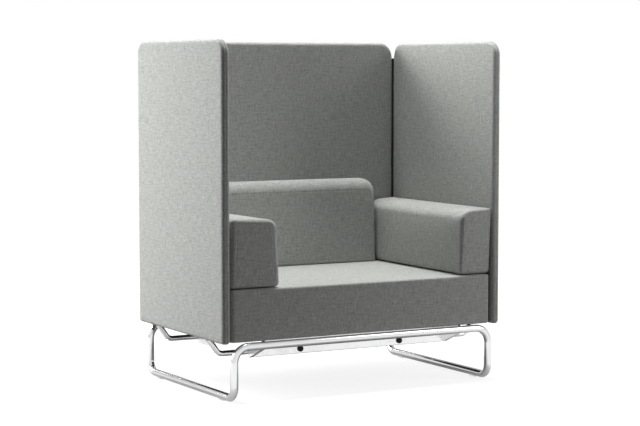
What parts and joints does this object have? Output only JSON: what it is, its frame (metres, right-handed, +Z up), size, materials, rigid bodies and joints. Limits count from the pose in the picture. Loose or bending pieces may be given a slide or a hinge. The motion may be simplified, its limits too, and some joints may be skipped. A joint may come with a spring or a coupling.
{
  "type": "acoustic high back lounge chair",
  "caption": "Upholstered lounge chair on a bent tube sled frame, with a padded hood of tall acoustic panels round the back and both sides.",
  "frame": {"origin": "on the floor, in the middle of the chair's plan (centre of the bottom of the bounding box)", "axes": "+Z up, the open front faces -Y, +X is to the sitter's left, which is the viewer's right from the front"},
  "size_m": [1.25, 0.825, 1.38],
  "materials": {
    "fabric": "light grey melange woven upholstery fabric",
    "black_cloth": "black nonwoven bottom cloth",
    "foam": "cut polyurethane foam",
    "board": "sanded plywood and chipboard",
    "strap": "elastic seat strap",
    "chrome": "polished chrome plated tube",
    "steel": "silver painted folded steel",
    "zinc": "zinc plated fastener",
    "black_plastic": "black moulded plastic",
    "clear_plastic": "translucent glide plastic",
    "black_steel": "black powder coated steel"
  },
  "bodies": {
    "root": {"left_skid_loop": "chrome", "right_skid_loop": "chrome", "front_rail_tube": "chrome", "rear_rail_tube": "chrome", "tube_spigots": "zinc", "skid_glides": "clear_plastic", "left_support_beam": "steel", "right_support_beam": "steel", "rear_cross_plate": "steel", "front_cross_plate": "steel", "rear_cross_bar": "chrome", "front_cross_bar": "chrome", "panel_tongues": "steel", "bar_spacers": "zinc", "bar_bolts": "zinc", "bar_nuts": "zinc", "bolt_caps": "black_plastic", "arm_mounting_strips": "steel", "arm_strip_bolts": "zinc", "back_mounting_strips": "steel", "back_strip_bolts": "zinc", "seat_cover": "fabric", "seat_foam": "foam", "seat_bottom_cloth": "black_cloth", "seat_front_board": "board", "seat_rear_board": "board", "seat_side_boards": "board", "seat_cross_rails": "board", "seat_screws": "zinc", "seat_straps": "strap", "back_cover": "fabric", "back_foam": "foam", "back_board": "board", "left_corner_profile": "black_steel", "right_corner_profile": "black_steel", "corner_screws": "zinc", "left_arm_cover": "fabric", "left_arm_foam": "foam", "left_arm_boards": "board", "right_arm_cover": "fabric", "right_arm_foam": "foam", "right_arm_boards": "board", "left_panel_cover": "fabric", "left_panel_foam": "foam", "left_panel_core": "board", "right_panel_cover": "fabric", "right_panel_foam": "foam", "right_panel_core": "board", "rear_panel_cover": "fabric", "rear_panel_foam": "foam", "rear_panel_core": "board"}
  },
  "joints": []
}
